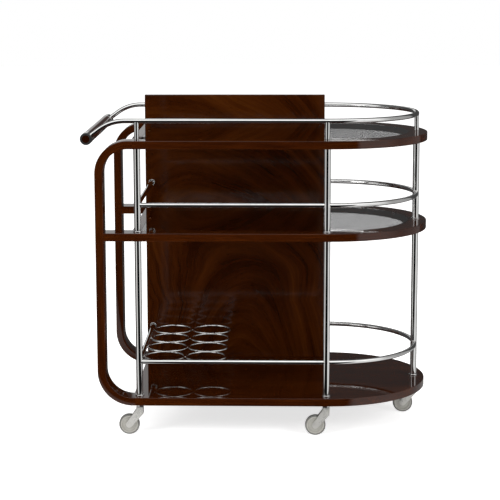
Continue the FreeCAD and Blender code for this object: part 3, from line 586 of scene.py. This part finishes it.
# %% Wheels and tyres
WHEEL_BORE = 0.00305
BOSS_RADIUS = 0.008
WEB_DEPTH = 0.0028
RIM_WIDTH = 0.003
WEB_SLOPE = 0.0012
TREAD_EASING = 0.002
WHEEL_ROUNDING = 0.0007
TYRE_ROUNDING = 0.0016
for number in range(1, 6):
    low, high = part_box(f"caster_{number}_wheel")
    centre, half = (low + high) / 2, (high.y - low.y) / 2
    rim, web = (high.z - low.z) / 2, half - WEB_DEPTH
    disc = [(WHEEL_BORE, -half), (BOSS_RADIUS, -half), (BOSS_RADIUS + WEB_SLOPE, -web),
            (rim - RIM_WIDTH - WEB_SLOPE, -web), (rim - RIM_WIDTH, -half), (rim, -half)]
    disc += [(radius, -along) for radius, along in reversed(disc)]
    surface = spun(centre, rounded(disc, WHEEL_ROUNDING))
    wheel = skin(f"turned_wheel_{number}", surface, True, True, silver_disc)
    low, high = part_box(f"caster_{number}_tyre")
    tread, edge = (high.z - low.z) / 2, (high.y - low.y) / 2
    band = [(rim, -edge), (tread - TREAD_EASING, -edge), (tread, -edge + TREAD_EASING)]
    band += [(radius, -along) for radius, along in reversed(band)]
    surface = spun(centre, rounded(band, TYRE_ROUNDING))
    tyre = skin(f"moulded_tyre_{number}", surface, True, True, grey_tread)
    for piece, node, slot in ((wheel, "wheel", "silver_disc"), (tyre, "tyre", "grey_tread")):
        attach(piece, f"caster_{number}_roller")
        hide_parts(f"caster_{number}_{node}")
print("5 turned wheels of radius", round(rim, 4), "and 5 tyres of radius", round(tread, 4))


# %% [markdown]
# ## Brazed joints
# Where a gallery tube meets a post, the real cart has a small bright fillet of brazing metal.
# Without it the tubes look pushed through each other. It could be a bevel on the joined solids,
# but those are separate pieces, so the fillet is a small piece of its own. The seam is where the
# two cylinders cross: going round the tube by an angle, the post's own circle says how far out
# the seam lies. The fillet is a curve from the post to the tube that leans towards the seam, so
# it is concave like metal that was drawn in while it ran.

# %% Fillet where a tube meets a post
BRAZE_LEG = 0.0016
BRAZE_ROOT = 0.0008


def braze(post_place, level_z, heading, around=48, steps=7):
    """Fillet grid: (1-t)^2 * post point + 2t(1-t) * seam point + t^2 * tube point."""
    turn = np.linspace(0.0, 2 * np.pi, around, endpoint=False)
    t = np.linspace(0.0, 1.0, steps)[:, None, None]
    side, up = np.cos(turn) * tube_radius, np.sin(turn) * tube_radius
    seam = np.stack([np.sqrt(post_radius ** 2 - side ** 2), side, up], 1)
    wide = (tube_radius + BRAZE_LEG) / tube_radius
    on_post = np.stack([np.sqrt(post_radius ** 2 - (side * wide) ** 2), side * wide, up * wide], 1)
    on_tube = seam + np.array([BRAZE_LEG, 0.0, 0.0])
    curve = (1 - t) ** 2 * on_post + 2 * t * (1 - t) * seam + t ** 2 * on_tube
    under = seam[None] - np.array([BRAZE_ROOT, 0.0, 0.0])
    local = np.concatenate([curve, under])
    cos, sin = heading
    return np.stack([post_place[0] + local[..., 0] * cos - local[..., 1] * sin,
                     post_place[1] + local[..., 0] * sin + local[..., 1] * cos,
                     level_z + local[..., 2]], 2)


# %% Braze the twelve joints
joints = []
for level_z in rail_z.values():
    joints += [((left_x, -rail_y), level_z, (1, 0)), ((left_x, -rail_y), level_z, (0, 1)),
               ((right_x, -rail_y), level_z, (-1, 0)), ((right_x, -rail_y), level_z, (1, 0)),
               ((end_x, 0.0), level_z, (0, -1)), ((end_x, 0.0), level_z, (0, 1))]
for index, (place, level_z, heading) in enumerate(joints, start=1):
    fillet = skin(f"braze_fillet_{index}", braze(place, level_z, heading), True, True, solder)
    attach(fillet, "cart")
print("brazed joints:", len(joints))


# %% [markdown]
# ## Solder between the rings
# The eight wire rings of the bottle rack are soldered where they touch each other and the rails.
# A squashed ball would do from far away, but a real bead is a drop drawn out along the two wires:
# its width shrinks towards the ends as the cosine of how far along it is, with a waist in the
# middle where the wires pull it in.

# %% Solder beads on the bottle rack
BEAD_HALF_LENGTH = 0.0060
BEAD_HALF_WIDTH = 0.0024
BEAD_HALF_HEIGHT = 0.0022
BEAD_WAIST = 0.18


def bead(centre, heading, along=17, around=20):
    """Radius at u in [-1, 1] is sqrt(1 - u^2) * (1 - waist * cos(pi * u)), on an ellipse."""
    u = np.sin(np.linspace(-np.pi / 2, np.pi / 2, along))[1:-1]
    swell = (np.sqrt(1 - u ** 2) * (1 - BEAD_WAIST * np.cos(np.pi * u)))[:, None]
    turn = np.linspace(0.0, 2 * np.pi, around, endpoint=False)[None, :]
    length = np.broadcast_to(u[:, None] * BEAD_HALF_LENGTH, (len(u), around))
    width = swell * np.cos(turn) * BEAD_HALF_WIDTH
    height = swell * np.sin(turn) * BEAD_HALF_HEIGHT
    cos, sin = heading
    return np.stack([centre[0] + length * cos - width * sin, centre[1] + length * sin + width * cos,
                     centre[2] + height], 2)


# %% Solder the rings
rack_low, rack_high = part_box("bottle_rings")
ring_size = (rack_high.x - rack_low.x) / 2
ring_rows = round((rack_high.y - rack_low.y) / ring_size)
rack_z = (rack_low.z + rack_high.z) / 2
row_y = [rack_low.y + ring_size * (row + 0.5) for row in range(ring_rows)]
column_x = [rack_low.x + ring_size * (column + 0.5) for column in range(2)]
touches = [((rack_low.x + ring_size, y, rack_z), (0, 1)) for y in row_y]
touches += [((rack_low.x, y, rack_z), (0, 1)) for y in row_y]
for step in range(ring_rows):
    touches += [((x, rack_low.y + ring_size * step, rack_z), (1, 0)) for x in column_x]
for index, (centre, heading) in enumerate(touches, start=1):
    drop = skin(f"solder_bead_{index}", bead(centre, heading), False, True, solder, caps=True)
    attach(drop, "cart")
print("solder beads:", len(touches))


# %% [markdown]
# ## The room that chrome shows
# The cart stands in a plain pale studio that looks white to the camera. A mirror finish shows
# whatever stands round it, and chrome in an all-white room looks like white paint. Real walls
# could be built, but they would cast shadows, so the Light Path node tells reflections apart and
# gives them a room: a bright ceiling, pale walls at the sides, and the dark room in front, which
# draws the thin dark line down the middle of every chrome post.

# %% What shiny surfaces see of the room
WINDOW = 0.60
CEILING = (1.20, 1.20, 1.20, 1.0)
SOFT_FILL = (0.55, 0.55, 0.55, 1.0)
WHITE = (1.0, 1.0, 1.0, 1.0)
ROOM_GREYS = [(0.000, 0.06), (0.008, 0.08), (0.014, None), (0.045, None), (0.055, 0.05),
              (0.144, 0.06), (0.170, 0.13), (0.285, 0.14), (0.300, 0.66), (0.400, 0.68),
              (0.410, 0.006), (0.592, 0.006), (0.606, 0.82), (0.690, 0.80), (0.745, 0.40),
              (0.850, 0.34), (0.865, 0.06), (1.000, 0.06)]


def room(tree, x, y, window):
    """Brightness of the room in a level direction (x, y): dark in front, pale at the sides, and
    a window behind on the left, which fills the empty places in the list of greys."""
    flat = sums(tree, "SQRT", sums(tree, "ADD", sums(tree, "MULTIPLY", x, x),
                                   sums(tree, "MULTIPLY", y, y)))
    flat = sums(tree, "MAXIMUM", flat, 0.001)
    aside = sums(tree, "DIVIDE", x, flat)
    facing = sums(tree, "DIVIDE", y, flat)
    bearing = sums(tree, "ARCTAN2", aside, sums(tree, "MULTIPLY", facing, -1.0))
    share = sums(tree, "MULTIPLY_ADD", bearing, 0.5 / math.pi, 0.5)
    greys = [(place, window if value is None else value) for place, value in ROOM_GREYS]
    return tones(tree, share, [(place, (value,) * 3) for place, value in greys])


def studio_world():
    """White to the camera. Other rays see the room and a bright ceiling above it."""
    world = bpy.data.worlds.new("studio")
    bpy.context.scene.world = world
    world.use_nodes = True
    tree = world.node_tree
    x, y, z = put(tree, "SeparateXYZ", slot0=put(tree, "TexCoord").outputs["Generated"]).outputs
    high_up = tones(tree, z, [(0.28, (0.0,) * 3), (0.36, (1.0,) * 3)])
    forward = sums(tree, "MULTIPLY_ADD", y, -0.5, 0.5)
    ahead = tones(tree, forward, [(0.53, (0.0,) * 3), (0.60, (1.0,) * 3)])
    over = sums(tree, "MULTIPLY", high_up, ahead)
    path = put(tree, "LightPath").outputs
    seen = blend(tree, over, room(tree, x, y, WINDOW), CEILING)
    seen = blend(tree, path["Is Diffuse Ray"], seen, SOFT_FILL)
    seen = blend(tree, path["Is Camera Ray"], seen, WHITE)
    tree.links.new(seen, tree.nodes["Background"].inputs["Color"])
    return world


print("world:", studio_world().name)


# %% [markdown]
# ## Floor
# The floor is a wide white disc with a faint unevenness, like paper. Chrome and glass mirror it
# too, so it carries the same two faces as the world: white to the camera, and in reflections a
# soft grey near the cart that opens into the room further out.

# %% Floor
FLOOR_RADIUS = 14.0
FLOOR_SIDES = 96
FLOOR_GLOW = 0.70
FLOOR_WINDOW = 0.06
NEAR_FLOOR = 0.25
FAR_FLOOR = 0.55
MIRRORED_NEAR = (0.05, 0.045, 0.045, 1.0)


def studio_floor():
    """White disc. In shiny things it shows soft grey near the cart and the room further out."""
    turn = np.linspace(0.0, 2 * np.pi, FLOOR_SIDES, endpoint=False)
    ring = np.stack([np.cos(turn), np.sin(turn), np.zeros(FLOOR_SIDES)], 1) * FLOOR_RADIUS
    mesh = bpy.data.meshes.new("studio_floor")
    mesh.from_pydata(ring.tolist(), [], [list(range(FLOOR_SIDES))])
    material, tree, shader = new_material("pale_floor", Roughness=0.9, Specular_IOR_Level=0.1,
                                          Emission_Color=WHITE, Emission_Strength=FLOOR_GLOW)
    place = object_place(tree)
    paper = tones(tree, noise(tree, place, 5.0, 3.0), [(0.3, (0.90,) * 3), (0.7, (0.92,) * 3)])
    tree.links.new(paper, shader.inputs["Base Color"])
    x, y = put(tree, "SeparateXYZ", slot0=place).outputs[:2]
    reach = put(tree, "VectorMath", {"operation": "LENGTH"}, slot0=place).outputs["Value"]
    far = put(tree, "MapRange", Value=reach, From_Min=NEAR_FLOOR, From_Max=FAR_FLOOR).outputs[0]
    mirrored = blend(tree, far, MIRRORED_NEAR, room(tree, x, y, FLOOR_WINDOW))
    mirror = put(tree, "Emission", Color=mirrored, Strength=1.0).outputs[0]
    path = put(tree, "LightPath").outputs
    shiny = sums(tree, "SUBTRACT", path["Is Glossy Ray"], path["Is Transmission Ray"])
    both = put(tree, "MixShader", slot0=shiny, slot1=shader.outputs[0], slot2=mirror).outputs[0]
    tree.links.new(both, tree.nodes["Material Output"].inputs["Surface"])
    floor = bpy.data.objects.new("studio_floor", mesh)
    bpy.context.scene.collection.objects.link(floor)
    floor.data.materials.append(material)
    return floor


print("floor:", studio_floor().name)


# %% [markdown]
# ## Lamps
# Three large square lamps light the cart as softboxes do: one overhead for the tops and two in
# front for the faces and the legs. Small lamps would be simpler but throw hard shadows. All are
# hidden from reflections, because the room already says what chrome shows.

# %% Lamps
def softbox(name, place, target, size, power):
    """Square area lamp that looks at a point, its power in watts."""
    lamp = bpy.data.lights.new(name, "AREA")
    lamp.shape = "SQUARE"
    lamp.size = size
    lamp.energy = power
    holder = bpy.data.objects.new(name, lamp)
    bpy.context.scene.collection.objects.link(holder)
    holder.location = place
    holder.rotation_euler = (Vector(target) - Vector(place)).to_track_quat("-Z", "Y").to_euler()
    holder.visible_glossy = False


softbox("ceiling_softbox", (0.2, -0.3, 3.2), (0.0, 0.0, 0.3), 2.6, 44.0)
softbox("front_softbox_left", (-2.6, -2.6, 1.9), (0.0, 0.0, 0.45), 1.3, 48.0)
softbox("front_softbox_right", (2.7, -2.3, 2.0), (0.0, 0.0, 0.45), 1.3, 38.0)

# %% [markdown]
# ## Camera
# A short lens would make the near end look much larger than the far one. A long lens from well in
# front keeps the cart's uprights nearly parallel. It stands a little above the top level and looks
# slightly down, so the glass of each level shows as a thin slanted shape.

# %% Camera
CAMERA_PLACE = (0.0971, -4.4485, 1.2050)
CAMERA_DOWN = math.radians(9.84)
CAMERA_LEFT = math.radians(1.56)
CAMERA_ROLL = math.radians(0.116)
CAMERA_LENS = 124.15
FILM_WIDTH = 36.0
camera_data = bpy.data.cameras.new("studio_camera")
camera_data.sensor_width = FILM_WIDTH
camera_data.lens = CAMERA_LENS
camera = bpy.data.objects.new("studio_camera", camera_data)
bpy.context.scene.collection.objects.link(camera)
camera.location = CAMERA_PLACE
camera.rotation_euler = (math.pi / 2 - CAMERA_DOWN, 0.0, CAMERA_LEFT)
camera.rotation_euler.rotate_axis("Z", -CAMERA_ROLL)
bpy.context.scene.camera = camera
bpy.context.scene.view_settings.view_transform = "Standard"
print("camera", CAMERA_LENS, "mm lens at", CAMERA_PLACE)
